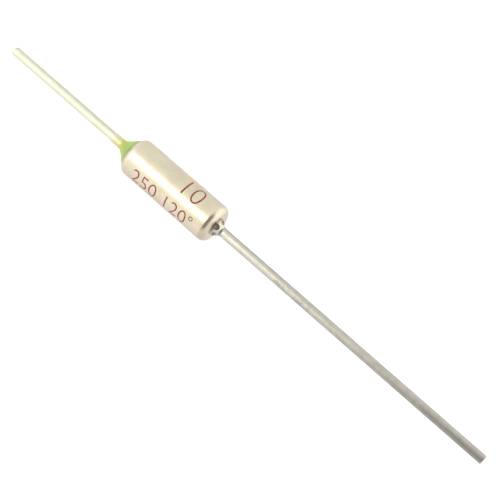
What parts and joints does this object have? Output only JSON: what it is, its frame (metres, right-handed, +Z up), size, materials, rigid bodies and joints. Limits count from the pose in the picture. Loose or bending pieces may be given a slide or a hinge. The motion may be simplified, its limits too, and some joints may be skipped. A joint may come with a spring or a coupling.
{
  "type": "thermal fuse",
  "caption": "Axial pellet-type thermal fuse: drawn metal case with a rounded closed end, green resin cone at the rolled rim, one wire lead staked to the case and one isolated lead.",
  "frame": {"origin": "middle of the case's length, on the fuse's axis", "axes": "+X along the axis towards the case lead, +Z up as it lies in the picture"},
  "size_m": [0.0597, 0.004, 0.004],
  "materials": {
    "plated_case": "satin plated",
    "case_lead_wire": "drawn, tinned",
    "isolated_lead_wire": "drawn, tinned",
    "organic_pellet": "pressed powder",
    "steel_disc": "stamped",
    "spring_wire": "drawn wire",
    "silver_sheet": "silver plated",
    "bush_ceramic": "unglazed",
    "green_resin": "cured resin, translucent"
  },
  "bodies": {
    "root": {"case": "plated_case", "case_lead": "case_lead_wire", "thermal_pellet": "organic_pellet", "pellet_disc": "steel_disc", "barrel_spring": "spring_wire", "contact_disc": "steel_disc", "star_contact": "silver_sheet", "trip_spring": "spring_wire", "ceramic_bush": "bush_ceramic", "isolated_lead": "isolated_lead_wire", "sealing_resin": "green_resin"}
  },
  "joints": []
}
